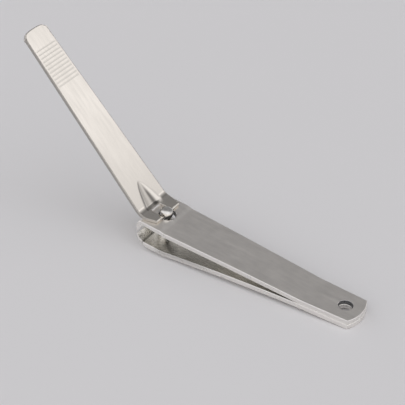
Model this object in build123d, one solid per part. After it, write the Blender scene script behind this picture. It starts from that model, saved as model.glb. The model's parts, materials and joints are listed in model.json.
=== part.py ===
"""Large compound-lever toenail clipper: two sprung jaw strips, a swivelling pin and a cranked lever.

Origin on the base plane, in the middle of the overall length. +X runs to the tail, +Z is up, all sizes in
mm. The pieces are drawn with the pin axis at x = 0 and moved to the origin at the end.
"""
from build123d import *
import os
from math import cos, radians, sin, tan

os.makedirs("parts", exist_ok=True)

MIDDLE_X = 10.548  # middle of the overall length, behind the pin axis

# ---- jaw strips
SHEET = 1.7  # thickness of both strips
HEAD_WIDTH = 16.8  # width over the head
TAIL_WIDTH = 12.1  # width where the sides meet the tail arc
SHOULDER_X = 2.0  # the sides start to taper here
TAIL_X = 73.4  # end of the tail
TAIL_ARC = 12.0  # radius of the rounded tail end
JOIN_X = 55.0  # the strips lie together from here to the tail
JOIN_ANGLE = 3.2  # slope of the joined tail on the base plane, degrees
HEAD_ANGLE = 6.0  # slope of both pads round the pin, degrees
LOOP_X = 67.5  # hole for a cord or chain
LOOP_R = 2.35

# ---- upper jaw
PAD_Z = 10.9  # top of the upper pad on the pin axis
PAD_BACK = 3.2  # back end of the raised pad
JOGGLE_RUN = 1.2  # length of the step behind the pad
HEEL_Z = 10.05  # top of the strip just behind the step
UPPER_BOW = 0.12  # how far the strip bows above a straight line
RELIEF_X = 1.0  # the underside is ground away in front of here
UPPER_HOLE_R = 2.9  # clearance hole round the pin
UPPER_HOLE_X = 0.4

# ---- lower jaw
FLOOR_HEEL_X = 4.2  # the floor turns up to the pad here
FLOOR_HEEL_Z = 2.52
LOWER_BOW = 0.38

# ---- cutting lips
EDGE_X = -5.95  # the cutting edges
LOWER_EDGE_Z = 6.0
EDGE_GAP = 0.8  # opening between the cutting edges at rest
EDGE_LAND = 0.15  # width of each cutting edge
UPPER_ROOT_X = -3.6  # the top starts to curve down here
UPPER_NOSE_Z = 9.4  # end of that curve
UPPER_INNER_X = -3.3
UPPER_INNER_Z = 10.05
LOWER_ROOT_X = -3.4  # the floor starts to curve up here
LOWER_OUTER_X = -2.0
LIP_FOLD = 21.0  # the inner face of the lower lip leaves the floor with this sharp fold

# ---- pin
PIN_R = 2.1
PIN_FIT = 0.05  # radial running clearance in the lower jaw
FOOT_R = 3.0
FOOT_GAP = 0.04
HEAD_TOP = 2.4  # crown of the dome above the upper pad
DOME_BASE = 1.7
NOTCH_R = 0.65
NECK_X = 0.1  # centre of the lever bar in the notch

# ---- lever
LEVER_T = 1.2  # thickness; the end bar has this diameter
LEVER_LIFT = 0.05  # running clearance over the upper pad
KNEE_X = -5.05  # where the upper faces of arms and blade would meet
BEND_ANGLE = 41.6
BEND_R = 4.8  # radius of the bend on the upper face
BLADE_LENGTH = 69.0  # knee to tip
KNEE_WIDTH = 14.6
TIP_WIDTH = 10.5
TIP_ARC = 13.6
TIP_CORNER = 1.4
BAR_LENGTH = 12.6
WINDOW_WIDTH = 4.7
WINDOW_LIP = -4.5  # edge of the window next to the knee
WINDOW_CORNER = 0.5
HOLLOW_LENGTH = 8.7
HOLLOW_WIDTH = 6.0
HOLLOW_FLOOR = 4.4
HOLLOW_DEPTH = 0.6
LIP_FRONT = (-5.85, 1.25)  # the hollow's floor at the knee runs on to the window between these points
LIP_BACK = (-4.4, 0.9)
GRIP_COUNT = 11
GRIP_START = 48.8
GRIP_PITCH = 1.32
GRIP_WIDTH = 0.55
GRIP_DEPTH = 0.28

HEAD = Plane(
    origin=(0, 0, PAD_Z),
    x_dir=(cos(radians(HEAD_ANGLE)), 0, -sin(radians(HEAD_ANGLE))),
    z_dir=(sin(radians(HEAD_ANGLE)), 0, cos(radians(HEAD_ANGLE))),
)


def side(x, z):
    """A point of the side view."""
    return Vector(x, 0, z)


def pad_line(x, z_at, x_at):
    """Height of a pad face at x: it rises forward at the head angle through one point."""
    return z_at + (x_at - x) * tan(radians(HEAD_ANGLE))


def join_z(x):
    """Underside of the joined tail, which starts on the base plane at the tail end."""
    return (TAIL_X - x) * tan(radians(JOIN_ANGLE))


def prism(edges, width):
    """A closed side view made into a solid of the given width."""
    return extrude(make_face(edges), amount=width / 2, both=True)


def ring(points):
    """Closed outline of straight edges."""
    return Polyline(*points, close=True).edges()


def bowed(front, back, bow):
    """A gently bowed line between two points of the side view."""
    middle = (front + back) * 0.5 + Vector(0, 0, bow)
    return ThreePointArc(front, middle, back)


def outline():
    """Plan of both strips: parallel head, tapered sides and rounded tail."""
    half_head = HEAD_WIDTH / 2
    half_tail = TAIL_WIDTH / 2
    sagitta = TAIL_ARC - (TAIL_ARC**2 - half_tail**2) ** 0.5
    corner = TAIL_X - sagitta
    front = EDGE_X - 2
    sides = Polyline(
        (corner, -half_tail),
        (SHOULDER_X, -half_head),
        (front, -half_head),
        (front, half_head),
        (SHOULDER_X, half_head),
        (corner, half_tail),
    )
    tail = ThreePointArc((corner, half_tail), (TAIL_X, 0), (corner, -half_tail))
    plan = make_face(sides.edges() + tail.edges())
    return extrude(plan, amount=2 * PAD_Z)


def loop_hole():
    """The hole through the joined tail, square to its slope."""
    middle = Location((LOOP_X, 0, join_z(LOOP_X) + SHEET), (0, JOIN_ANGLE, 0))
    return middle * Cylinder(LOOP_R, 4 * SHEET)


def pin_hole(radius, offset, level):
    """A hole square to the pads, centred on a level above the upper pad."""
    return HEAD * Pos(offset, 0, level) * Cylinder(radius, 3 * SHEET)


def lower_level():
    """Height of the lower pad's underside on the pin axis, above the upper pad."""
    slope = tan(radians(HEAD_ANGLE))
    under = FLOOR_HEEL_Z - SHEET + FLOOR_HEEL_X * slope
    return (under - PAD_Z) * cos(radians(HEAD_ANGLE))


def lower_strip():
    """Side view of the lower strip behind its lip, as floor and underside edges."""
    def run(drop):
        tail = side(TAIL_X, SHEET - drop)
        join = side(JOIN_X, join_z(JOIN_X) + SHEET - drop)
        heel = side(FLOOR_HEEL_X, FLOOR_HEEL_Z - drop)
        return tail, join, heel

    tail, join, heel = run(0)
    low_tail, low_join, low_heel = run(SHEET)
    root = side(LOWER_ROOT_X, pad_line(LOWER_ROOT_X, FLOOR_HEEL_Z, FLOOR_HEEL_X))
    low_z = pad_line(LOWER_OUTER_X, FLOOR_HEEL_Z, FLOOR_HEEL_X) - SHEET
    low_root = side(LOWER_OUTER_X, low_z)
    forward = Vector(-cos(radians(HEAD_ANGLE)), 0, sin(radians(HEAD_ANGLE)))
    rise = radians(HEAD_ANGLE + LIP_FOLD)
    folded = Vector(-cos(rise), 0, sin(rise))
    inner_tip = side(EDGE_X + EDGE_LAND, LOWER_EDGE_Z)
    outer_tip = side(EDGE_X, LOWER_EDGE_Z)
    return [
        Line(tail, join),
        bowed(join, heel, LOWER_BOW),
        Line(heel, root),
        TangentArc(root, inner_tip, tangent=folded),
        Line(inner_tip, outer_tip),
        TangentArc(low_root, outer_tip, tangent=forward),
        Line(low_root, low_heel),
        bowed(low_heel, low_join, LOWER_BOW),
        Line(low_join, low_tail),
        Line(low_tail, tail),
    ]


def upper_strip():
    """Side view of the upper strip: joined tail, bow, step, raised pad and lip."""
    tail = side(TAIL_X, 2 * SHEET)
    join = side(JOIN_X, join_z(JOIN_X) + 2 * SHEET)
    heel = side(PAD_BACK + JOGGLE_RUN, HEEL_Z)
    pad = side(PAD_BACK, pad_line(PAD_BACK, PAD_Z, 0))
    root = side(UPPER_ROOT_X, pad_line(UPPER_ROOT_X, PAD_Z, 0))
    forward = Vector(-cos(radians(HEAD_ANGLE)), 0, sin(radians(HEAD_ANGLE)))
    nose = side(EDGE_X, UPPER_NOSE_Z)
    tip_z = LOWER_EDGE_Z + EDGE_GAP
    outer_tip = side(EDGE_X, tip_z)
    inner_tip = side(EDGE_X + EDGE_LAND, tip_z)
    drop = Vector(0, 0, -SHEET)
    relief = side(RELIEF_X, pad_line(RELIEF_X, PAD_Z, 0)) + drop
    return [
        Line(tail, join),
        bowed(join, heel, UPPER_BOW),
        Line(heel, pad),
        Line(pad, root),
        TangentArc(root, nose, tangent=forward),
        Line(nose, outer_tip),
        Line(outer_tip, inner_tip),
        Line(inner_tip, side(UPPER_INNER_X, UPPER_INNER_Z)),
        Line(side(UPPER_INNER_X, UPPER_INNER_Z), relief),
        Line(relief, pad + drop),
        Line(pad + drop, heel + drop),
        bowed(heel + drop, join + drop, UPPER_BOW),
        Line(join + drop, tail + drop),
        Line(tail + drop, tail),
    ]


def lower_jaw():
    """Lower strip with its lip, the close pin hole and the tail hole."""
    body = prism(lower_strip(), HEAD_WIDTH + 2) & outline()
    body -= pin_hole(PIN_R + PIN_FIT, 0, lower_level())
    return body - loop_hole()


def upper_jaw():
    """Upper strip with its lip, the wide pin hole and the tail hole."""
    body = prism(upper_strip(), HEAD_WIDTH + 2) & outline()
    body -= pin_hole(UPPER_HOLE_R, UPPER_HOLE_X, 0)
    return body - loop_hole()


def foot_level():
    """Underside of the foot, so that its lowest rim point stands on the base plane."""
    tilt = radians(HEAD_ANGLE)
    return (FOOT_R * sin(tilt) - PAD_Z) / cos(tilt)


def bar_level():
    """Centre of the lever bar above the upper pad."""
    return LEVER_LIFT + LEVER_T / 2


def pin():
    """Foot, shaft and domed head in one turning, with the notch for the lever bar."""
    foot = foot_level()
    shoulder = lower_level() - FOOT_GAP
    rise = HEAD_TOP - DOME_BASE
    dome_r = (PIN_R**2 + rise**2) / (2 * rise)
    half_view = make_face(
        Polyline((0, foot), (FOOT_R, foot), (FOOT_R, shoulder), (PIN_R, shoulder), (PIN_R, DOME_BASE)).edges()
        + ThreePointArc(
            (PIN_R, DOME_BASE),
            (PIN_R / 2, HEAD_TOP - dome_r + (dome_r**2 - PIN_R**2 / 4) ** 0.5),
            (0, HEAD_TOP),
        ).edges()
        + Line((0, HEAD_TOP), (0, foot)).edges()
    )
    turned = revolve(Plane.XZ * half_view, Axis.Z)
    level = bar_level()
    notch_end = Pos(NECK_X, 0, level) * Rot(90, 0, 0) * Cylinder(NOTCH_R, 4 * PIN_R)
    notch_run = Pos(NECK_X - PIN_R, 0, level) * Box(2 * PIN_R, 4 * PIN_R, 2 * NOTCH_R)
    return HEAD * (turned - notch_end - notch_run)


def blade_plane():
    """Plane of the blade's upper face at the knee: x runs to the tip, z out of the gripped face."""
    turn = radians(BEND_ANGLE)
    knee = (KNEE_X, 0, LEVER_LIFT + LEVER_T)
    return Plane(origin=knee, x_dir=(-cos(turn), 0, sin(turn)), z_dir=(sin(turn), 0, cos(turn)))


def blade_outline():
    """Plan of the blade: tapered sides, rounded corners and a bowed tip."""
    half_knee = KNEE_WIDTH / 2
    half_tip = TIP_WIDTH / 2
    sagitta = TIP_ARC - (TIP_ARC**2 - half_tip**2) ** 0.5
    corner = BLADE_LENGTH - sagitta
    start = bend_reach()
    sides = Polyline((corner, -half_tip), (start, -half_knee), (start, half_knee), (corner, half_tip))
    tip = ThreePointArc((corner, half_tip), (BLADE_LENGTH, 0), (corner, -half_tip))
    plan = make_face(sides.edges() + tip.edges())
    return fillet(plan.vertices().sort_by(Axis.X)[-2:], TIP_CORNER)


def bend_reach():
    """Length that the bend takes off each flat, measured from the knee."""
    return BEND_R * tan(radians(BEND_ANGLE) / 2)


def blade():
    """The long straight part of the lever."""
    return blade_plane() * extrude(blade_outline(), amount=-LEVER_T)


def bend():
    """The bend between the arms and the blade, a slice of a thick tube."""
    turn = radians(BEND_ANGLE)
    centre = Vector(KNEE_X + bend_reach(), 0, LEVER_LIFT + LEVER_T + BEND_R)

    def at(radius, angle):
        return centre - Vector(sin(angle), 0, cos(angle)) * radius

    outer = BEND_R + LEVER_T
    edges = [
        ThreePointArc(at(BEND_R, 0), at(BEND_R, turn / 2), at(BEND_R, turn)),
        Line(at(BEND_R, turn), at(outer, turn)),
        ThreePointArc(at(outer, turn), at(outer, turn / 2), at(outer, 0)),
        Line(at(outer, 0), at(BEND_R, 0)),
    ]
    return prism(edges, KNEE_WIDTH)


def arms():
    """The short cranked end: two arms and a round bar round a window for the pin head."""
    half_knee = KNEE_WIDTH / 2
    half_bar = BAR_LENGTH / 2
    root = KNEE_X + bend_reach()
    plan = make_face(ring([(root, -half_knee), (NECK_X, -half_bar), (NECK_X, half_bar), (root, half_knee)]))
    plate = Pos(0, 0, LEVER_LIFT) * extrude(plan, amount=LEVER_T) + bend()
    bar = Pos(NECK_X, 0, bar_level()) * Rot(90, 0, 0) * Cylinder(LEVER_T / 2, BAR_LENGTH)
    window = Pos((WINDOW_LIP + NECK_X) / 2, 0, bar_level()) * Box(
        NECK_X - WINDOW_LIP, WINDOW_WIDTH, 3 * LEVER_T
    )
    window = fillet(window.edges().filter_by(Axis.Z).sort_by(Axis.X)[:2], WINDOW_CORNER)
    return plate - window + bar


def trough(mouth, floor, rise):
    """A tapering flat-bottomed trough: full size at the knee, almost nothing at its far end."""

    def section(scale):
        half, foot, low = mouth * scale / 2, floor * scale / 2, -HOLLOW_DEPTH * scale
        return make_face(
            ring([(-half, rise), (-half, 0), (-foot, low), (foot, low), (half, 0), (half, rise)])
        )

    return loft([Plane.YZ * section(1), Plane.YZ.offset(HOLLOW_LENGTH) * section(0.02)])


def lip_cut():
    """Takes the floor of the hollow through to the window."""
    (front_x, front_z), (back_x, back_z) = LIP_FRONT, LIP_BACK
    above = LEVER_LIFT + 3 * LEVER_T
    edges = ring([side(front_x, front_z), side(back_x, back_z), side(back_x, above), side(front_x, above)])
    return prism(edges, HOLLOW_FLOOR)


def grip_grooves():
    """Cross grooves near the tip on the thumb face."""
    grooves = Part()
    for index in range(GRIP_COUNT):
        place = Pos(GRIP_START + index * GRIP_PITCH, 0, 0)
        grooves += place * Box(GRIP_WIDTH, 2 * TIP_WIDTH, 2 * GRIP_DEPTH)
    return grooves


def lever():
    """Blade, bend, arms and bar, with the pressed hollow at the knee and the grip grooves."""
    face = blade_plane()
    body = blade() + arms()
    bump = face * Pos(0, 0, -LEVER_T) * trough(HOLLOW_WIDTH - 0.5, HOLLOW_FLOOR - 0.5, 0.3)
    below = Pos(KNEE_X, 0, LEVER_LIFT - HOLLOW_DEPTH)
    bump -= below * Box(8 * HOLLOW_DEPTH, 2 * HOLLOW_WIDTH, 2 * HOLLOW_DEPTH)
    body += bump
    body -= face * trough(HOLLOW_WIDTH, HOLLOW_FLOOR, 1.5)
    body -= lip_cut()
    body -= face * grip_grooves()
    return HEAD * body


TO_ORIGIN = Pos(-MIDDLE_X, 0, 0)
export_step(TO_ORIGIN * lower_jaw(), "parts/lower_jaw.step")
export_step(TO_ORIGIN * upper_jaw(), "parts/upper_jaw.step")
export_step(TO_ORIGIN * pin(), "parts/pin.step")
export_step(TO_ORIGIN * lever(), "parts/lever.step")
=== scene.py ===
"""Looks of a large lever-type toenail clipper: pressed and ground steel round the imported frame."""

import json
import math

import bpy
import numpy as np
from mathutils import Matrix, Vector


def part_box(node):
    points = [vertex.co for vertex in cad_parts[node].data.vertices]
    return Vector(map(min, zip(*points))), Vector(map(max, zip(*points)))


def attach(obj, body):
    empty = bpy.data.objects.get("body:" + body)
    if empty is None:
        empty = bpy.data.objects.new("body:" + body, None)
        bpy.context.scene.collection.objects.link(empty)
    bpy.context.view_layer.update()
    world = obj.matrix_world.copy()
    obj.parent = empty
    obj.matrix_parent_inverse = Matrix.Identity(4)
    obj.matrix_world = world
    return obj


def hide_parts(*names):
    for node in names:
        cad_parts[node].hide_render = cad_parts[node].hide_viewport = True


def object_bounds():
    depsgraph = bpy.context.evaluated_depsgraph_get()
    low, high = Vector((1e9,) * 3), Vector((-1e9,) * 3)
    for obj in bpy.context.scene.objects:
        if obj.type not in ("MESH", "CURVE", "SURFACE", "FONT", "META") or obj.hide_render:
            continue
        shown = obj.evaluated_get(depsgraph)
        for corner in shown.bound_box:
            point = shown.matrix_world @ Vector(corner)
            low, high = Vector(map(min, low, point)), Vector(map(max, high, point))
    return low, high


bl_info = {
    "name": "Lever toenail clipper",
    "version": (1, 0, 0),
    "blender": (4, 5, 0),
    "location": "3D Viewport > Sidebar > Clipper",
    "description": "Steel strips, pin and cranked lever of a large toenail clipper",
    "category": "Add Mesh",
}

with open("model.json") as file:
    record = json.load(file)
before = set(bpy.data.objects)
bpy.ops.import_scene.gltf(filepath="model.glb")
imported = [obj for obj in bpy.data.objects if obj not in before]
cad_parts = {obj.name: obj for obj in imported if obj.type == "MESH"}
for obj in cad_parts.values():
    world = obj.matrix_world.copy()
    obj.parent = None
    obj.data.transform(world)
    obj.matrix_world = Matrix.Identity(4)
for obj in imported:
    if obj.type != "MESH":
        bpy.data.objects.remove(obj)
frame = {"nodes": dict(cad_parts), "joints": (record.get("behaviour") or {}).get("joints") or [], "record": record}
CAD_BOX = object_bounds()
MM = 0.001

JOINTS = {joint["name"]: joint for joint in frame["joints"]}
MOUNTS = {mount["name"]: mount for mount in frame["record"]["mounts"]}
PIN_AXIS = np.array(JOINTS["pin_swivel"]["axis"], float)
# the pieces are drawn with the pin axis at x = 0 and moved to its place in the frame at the end
SHIFT = np.array([JOINTS["pin_swivel"]["pos_m"][0] / MM, 0.0, 0.0])
PIN_TOP = np.array(JOINTS["pin_swivel"]["pos_m"], float) / MM - SHIFT
BAR = np.array(JOINTS["lever_pivot"]["pos_m"], float) / MM - SHIFT
FLEX = np.array(JOINTS["jaw_flex"]["pos_m"], float) / MM - SHIFT
LOOP = np.array(MOUNTS["loop_hole"]["pos_m"], float) / MM - SHIFT
LOOP_R = float(MOUNTS["loop_hole"]["dims"]["r_mm"])
LOWER_BOX = [np.array(corner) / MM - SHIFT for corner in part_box("lower_jaw")]
UPPER_BOX = [np.array(corner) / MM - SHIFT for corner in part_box("upper_jaw")]
HEAD_SLOPE = math.atan2(PIN_AXIS[0], PIN_AXIS[2])
# how far the bar's axis lies behind the pin axis, along the pad
BAR_BEHIND = float((BAR - PIN_TOP) @ np.array([math.cos(HEAD_SLOPE), 0.0, -math.sin(HEAD_SLOPE)]))
TAIL_SLOPE = math.atan2(FLEX[2], LOWER_BOX[1][0] - FLEX[0])


# ---------------------------------------------------------------- sizes and colours


def length(name, description, default):
    """A property for a length in millimetres."""
    return bpy.props.FloatProperty(name=name, description=description, default=default, min=0.0)


def tint(name, description, default):
    """A property for a colour."""
    return bpy.props.FloatVectorProperty(
        name=name, description=description, default=default, subtype="COLOR", size=3, min=0.0, max=1.0
    )


def angle(name, description, degrees):
    """A property for an angle, given here in degrees."""
    return bpy.props.FloatProperty(
        name=name, description=description, default=math.radians(degrees), subtype="ANGLE"
    )


def share(name, description, default):
    """A property for a share from 0 to 1."""
    return bpy.props.FloatProperty(
        name=name, description=description, default=default, min=0.0, max=1.0, subtype="FACTOR"
    )


class ClipperJaws(bpy.types.PropertyGroup):
    """Sizes of the two strips, in millimetres."""

    sheet: length("Sheet", "Thickness of both strips, mm", 1.7)
    tail_width: length("Tail width", "Width where the sides meet the tail arc, mm", 12.1)
    tail_arc: length("Tail arc", "Radius of the rounded tail end, mm", 12.0)
    shoulder: length("Shoulder", "The sides taper behind this station, mm", 2.0)
    step_back: length("Step", "Back end of the raised pad, mm", 3.2)
    step_run: length("Step run", "Length of the step behind the pad, mm", 1.2)
    heel: length("Heel", "Top of the upper strip just behind the step, mm", 10.05)
    pin_clearance: length("Pin clearance hole", "Radius of the hole in the upper strip, mm", 2.9)
    pin_bore: length("Pin bore", "Radius of the hole in the lower strip, mm", 2.15)
    edge_gap: length("Edge gap", "Opening between the cutting edges at rest, mm", 0.8)
    lip_fold: angle("Lip fold", "Fold at the foot of the lower lip", 21)
    edge_radius: length("Edge radius", "Softening of the tumbled edges, mm", 0.2)


class ClipperLever(bpy.types.PropertyGroup):
    """Sizes of the lever, in millimetres."""

    sheet: length("Sheet", "Thickness of the lever and diameter of its bar, mm", 1.2)
    lift: length("Lift", "Running clearance over the upper pad, mm", 0.05)
    knee: length("Knee", "Distance of the bend in front of the pin axis, mm", 5.05)
    crank: angle("Crank", "Bend between arms and blade", 41.6)
    bend_radius: length("Bend radius", "Inner radius of the bend, mm", 4.8)
    blade: length("Blade", "Knee to tip, mm", 69.0)
    knee_width: length("Knee width", "Width at the bend, mm", 14.6)
    tip_width: length("Tip width", "Width at the tip corners, mm", 10.5)
    tip_arc: length("Tip arc", "Radius of the bowed tip, mm", 13.6)
    tip_corner: length("Tip corner", "Radius of the tip corners, mm", 1.4)
    bar: length("Bar", "Length of the round bar, mm", 12.6)
    window: length("Window", "Width of the window for the pin head, mm", 4.7)
    window_lip: length("Window lip", "Distance from the knee to the window, mm", 0.55)
    window_corner: length("Window corner", "Radius of the window corners, mm", 0.5)
    hollow_length: length("Hollow length", "Length of the pressed hollow, mm", 9.3)
    hollow_width: length("Hollow width", "Width of the pressed hollow at the knee, mm", 9.2)
    hollow_floor: share("Hollow floor", "Flat part of the hollow's width", 0.42)
    hollow_depth: length("Hollow depth", "Depth of the pressed hollow at the blade's start, mm", 0.6)
    grip_count: bpy.props.IntProperty(name="Grip grooves", description="How many", default=11, min=1)
    grip_start: length("Grip start", "Knee to the first groove, mm", 48.8)
    grip_pitch: length("Grip pitch", "Spacing of the grooves, mm", 1.32)
    grip_width: length("Grip width", "Width of a groove, mm", 0.45)
    grip_depth: length("Grip depth", "Depth of a groove, mm", 0.017)
    edge_radius: length("Edge radius", "Softening of the polished edges, mm", 0.22)


class ClipperFinish(bpy.types.PropertyGroup):
    """Colours and gloss of the steel."""

    jaw: tint("Jaw steel", "Ground flats of the strips", (0.985, 0.945, 0.89))
    jaw_inner: tint("Jaw inner steel", "Faces between the strips", (0.95, 0.93, 0.88))
    jaw_edge: tint("Jaw edges", "Tumbled edges of the strips", (0.90, 0.875, 0.84))
    # the hole walls' dark colour is painted shade; the punched walls are also rougher
    bore: tint("Hole walls", "Punched walls of the upper holes", (0.30, 0.30, 0.31))
    lever: tint("Lever steel", "Polished lever", (0.73, 0.69, 0.63))
    lever_edge: tint("Lever edges", "Cut edges of the lever", (0.50, 0.475, 0.44))
    pin: tint("Pin steel", "Polished pin", (0.9, 0.88, 0.84))
    jaw_gloss: share("Jaw roughness", "Roughness of the ground flats", 0.38)
    lever_gloss: share("Lever roughness", "Roughness of the polished lever", 0.15)
    floor: tint("Floor", "Pale table", (0.735, 0.727, 0.728))


# ---------------------------------------------------------------- curves

LEG_SHARE = 0.45  # most of a polyline's leg that a rounded corner may take


def ray(slope):
    """Unit vector of the side view that runs forward and up at a slope."""
    return np.array([-math.cos(slope), math.sin(slope)])


def sloped(x, x_at, z_at, slope):
    """Height of a line through one point that falls towards the tail at a slope."""
    return z_at + (x_at - x) * math.tan(slope)


def arc_points(start, direction, end, count):
    """Circle arc that leaves start along a direction and stops at end.

    The centre lies on the normal of the direction, at the squared chord over twice the chord's share along
    that normal, and the points step evenly in angle.
    """
    chord = end - start
    normal = np.array([-direction[1], direction[0]])
    radius = chord @ chord / (2 * (normal @ chord))
    centre = start + radius * normal
    first = start - centre
    sweep = 2 * math.atan2(normal @ chord, direction @ chord)
    turn = np.linspace(0, sweep, count)
    cos, sin = np.cos(turn), np.sin(turn)
    return centre + np.stack([first[0] * cos - first[1] * sin, first[0] * sin + first[1] * cos], 1)


def bowed_points(start, end, bow, count):
    """Points of a line between two ends, lifted in the middle by a parabola of the given height."""
    t = np.linspace(0, 1, count)[:, None]
    return start + (end - start) * t + np.array([0, 4 * bow]) * t * (1 - t)


def rounded_corners(points, reach, count=5):
    """Polyline with each inner corner replaced by a quadratic Bezier that starts and ends reach away from it.

    The reach is at most LEG_SHARE of the shorter leg, so neighbouring curves never meet.
    """
    before, corner, after = points[:-2], points[1:-1], points[2:]
    back, ahead = before - corner, after - corner
    leg = np.minimum(np.linalg.norm(back, axis=1), np.linalg.norm(ahead, axis=1))
    cut = np.minimum(reach, LEG_SHARE * leg)[:, None]
    a = corner + back / np.linalg.norm(back, axis=1)[:, None] * cut
    b = corner + ahead / np.linalg.norm(ahead, axis=1)[:, None] * cut
    t = np.linspace(0, 1, count)[None, :, None]
    curve = (1 - t) ** 2 * a[:, None] + 2 * t * (1 - t) * corner[:, None] + t**2 * b[:, None]
    return np.concatenate([points[:1], curve.reshape(-1, 2), points[-1:]])


def along(points):
    """Distance of each point along its polyline."""
    return np.concatenate([[0.0], np.cumsum(np.linalg.norm(np.diff(points, axis=0), axis=1))])


def smoothstep(low, high, value):
    """Goes from 0 at low to 1 at high along 3t² - 2t³. Low may be the larger of the two."""
    t = np.clip((value - low) / (high - low), 0, 1)
    return t * t * (3 - 2 * t)


def bell(value, centre, width):
    """Bell curve: e to the power of minus the squared distance from the centre in widths."""
    return np.exp(-(((value - centre) / width) ** 2))


# ---------------------------------------------------------------- flat nets and sheets

LINE_GAP = 0.02  # net lines closer than this, in millimetres, are one line
BORE_MARGIN = 0.2  # a wall this close to a hole's circle, in millimetres, is the hole's wall
MERGE_CELLS = 1e5  # cells per millimetre; points in one cell become one point


def net(us, vs, warp, openings):
    """Flat net of quads on the lines us and vs, moved by warp, with an opening inside each named block.

    A block gives the first and last line both ways and a function that puts the block's border onto the
    opening's outline. The room between border and outline is filled with rings that step from one to the
    other. A block with no outline function stays open to its border.
    """
    nu, nv = len(us), len(vs)
    grid = warp(*np.meshgrid(us, vs, indexing="ij")).reshape(-1, 2)
    index = np.arange(nu * nv).reshape(nu, nv)
    solid = np.ones((nu - 1, nv - 1), bool)
    points, rings = [grid], []
    total = len(grid)
    for (i0, i1, j0, j1), outline, steps in openings:
        solid[i0:i1, j0:j1] = False
        if outline is None:
            continue
        border = np.concatenate(
            [index[i0:i1, j0], index[i1, j0:j1], index[i1:i0:-1, j1], index[i0, j1:j0:-1]]
        )
        start = grid[border]
        goal = outline(start)
        outer = border
        for step in steps:
            points.append(start + (goal - start) * step)
            inner = total + np.arange(len(border))
            total += len(border)
            rings.append(np.stack([outer, np.roll(outer, -1), np.roll(inner, -1), inner], 1))
            outer = inner
    corner = index[:-1, :-1][solid]
    quads = np.stack([corner, corner + nv, corner + nv + 1, corner + 1], 1)
    quads = np.concatenate([quads] + rings)
    used, back = np.unique(quads, return_inverse=True)
    return np.concatenate(points)[used], back.reshape(-1, 4)


def sheet_shell(plan, quads, top, bottom, soft, tone, bores=()):
    """Closed shell over a flat net: its top map, its bottom map turned over, and a wall along each free edge.

    The kind of a face is 0 on top, 1 on the walls, 2 below and 3 on the wall of a hole, which is known by its
    centre and radius in plan. A free edge is one that a single quad uses. Points that fall together become
    one, and faces that lose a corner turn into triangles or go. soft and tone are given at the net's points.
    The tone is painted shade and painted dark reflection, and it lies on the top only. Returns the points, the
    faces with four and with three corners, the kinds, the edges of the top and bottom that get softened, how
    soft each of them is, and the points' tone.
    """
    n = len(plan)
    points = np.concatenate([top(plan), bottom(plan)])
    soft = np.concatenate([soft, soft])
    tone = np.concatenate([tone, 0 * tone])
    start, end = quads.reshape(-1), np.roll(quads, -1, axis=1).reshape(-1)
    key, twin = start * n + end, end * n + start
    free = ~np.isin(key, twin)
    a, b = start[free], end[free]
    walls = np.stack([a, a + n, b + n, b], 1)
    faces = np.concatenate([quads, quads[:, ::-1] + n, walls])
    kind = np.repeat([0, 2, 1], [len(quads), len(quads), len(walls)])
    for centre, radius in bores:
        kind[2 * len(quads) :][np.linalg.norm(plan[a] - centre, axis=1) < radius + BORE_MARGIN] = 3
    rims = np.concatenate([np.stack([a, b], 1), np.stack([a, b], 1) + n])

    cells = np.round(points * MERGE_CELLS).astype(np.int64)
    _, first, back = np.unique(cells, axis=0, return_index=True, return_inverse=True)
    back = back.reshape(-1)
    points, soft, tone = points[first], soft[first], tone[first]
    faces, rims = back[faces], back[rims]
    lost = faces == np.roll(faces, -1, axis=1)
    count = lost.sum(1)
    four, four_kind = faces[count == 0], kind[count == 0]
    three, three_kind = faces[count == 1][~lost[count == 1]].reshape(-1, 3), kind[count == 1]
    # the sign of the enclosed volume tells whether the faces point outwards
    p, q, r, t = (points[four[:, corner]] for corner in range(4))
    volume = (p * np.cross(q, r)).sum() + (p * np.cross(r, t)).sum()
    if volume < 0:
        four, three = four[:, ::-1], three[:, ::-1]
    rims = rims[rims[:, 0] != rims[:, 1]]
    return points, four, three, np.concatenate([four_kind, three_kind]), rims, soft[rims].mean(1), tone


def make_piece(name, shell, materials, edge_radius, body, node):
    """Mesh object from a shell in millimetres, with softened rims and its tone of painted shade, riding on its
    body.
    """
    points, four, three, kind, rims, soft, tone = shell
    mesh = bpy.data.meshes.new(name)
    mesh.from_pydata(((points + SHIFT) * MM).tolist(), [], four.tolist() + three.tolist())
    mesh.polygons.foreach_set("material_index", kind.astype(np.int32))
    mesh.polygons.foreach_set("use_smooth", np.ones(len(kind), bool))
    for material in materials:
        mesh.materials.append(material)
    ends = np.empty(len(mesh.edges) * 2, np.int32)
    mesh.edges.foreach_get("vertices", ends)
    ends = np.sort(ends.reshape(-1, 2), axis=1)
    size = len(points)
    keys = ends[:, 0].astype(np.int64) * size + ends[:, 1]
    rims = np.sort(rims, axis=1)
    wanted = rims[:, 0].astype(np.int64) * size + rims[:, 1]
    order = np.argsort(keys)
    place = order[np.searchsorted(keys, wanted, sorter=order)]
    weight = np.zeros(len(keys), np.float32)
    weight[place] = soft
    layer = mesh.attributes.new("bevel_weight_edge", "FLOAT", "EDGE")
    layer.data.foreach_set("value", weight)
    # the tone is painted shade and painted dark reflection, stored at the points
    mark = mesh.attributes.new("painted_shade_and_reflection", "FLOAT", "POINT")
    mark.data.foreach_set("value", tone.astype(np.float32))
    mesh.validate()
    piece = bpy.data.objects.new(name, mesh)
    bpy.context.scene.collection.objects.link(piece)
    bevel = piece.modifiers.new("Softened rims", "BEVEL")
    bevel.limit_method = "WEIGHT"
    bevel.width = edge_radius * MM
    bevel.segments = 3
    bevel.use_clamp_overlap = False
    bevel.harden_normals = True
    bevel.material = -1
    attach(piece, body)
    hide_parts(node)
    return piece


def lines(*parts):
    """Sorted station lines with the doubles taken out."""
    joined = np.sort(np.concatenate([np.atleast_1d(np.asarray(part, float)) for part in parts]))
    return joined[np.concatenate([[True], np.diff(joined) > LINE_GAP])]


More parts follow.
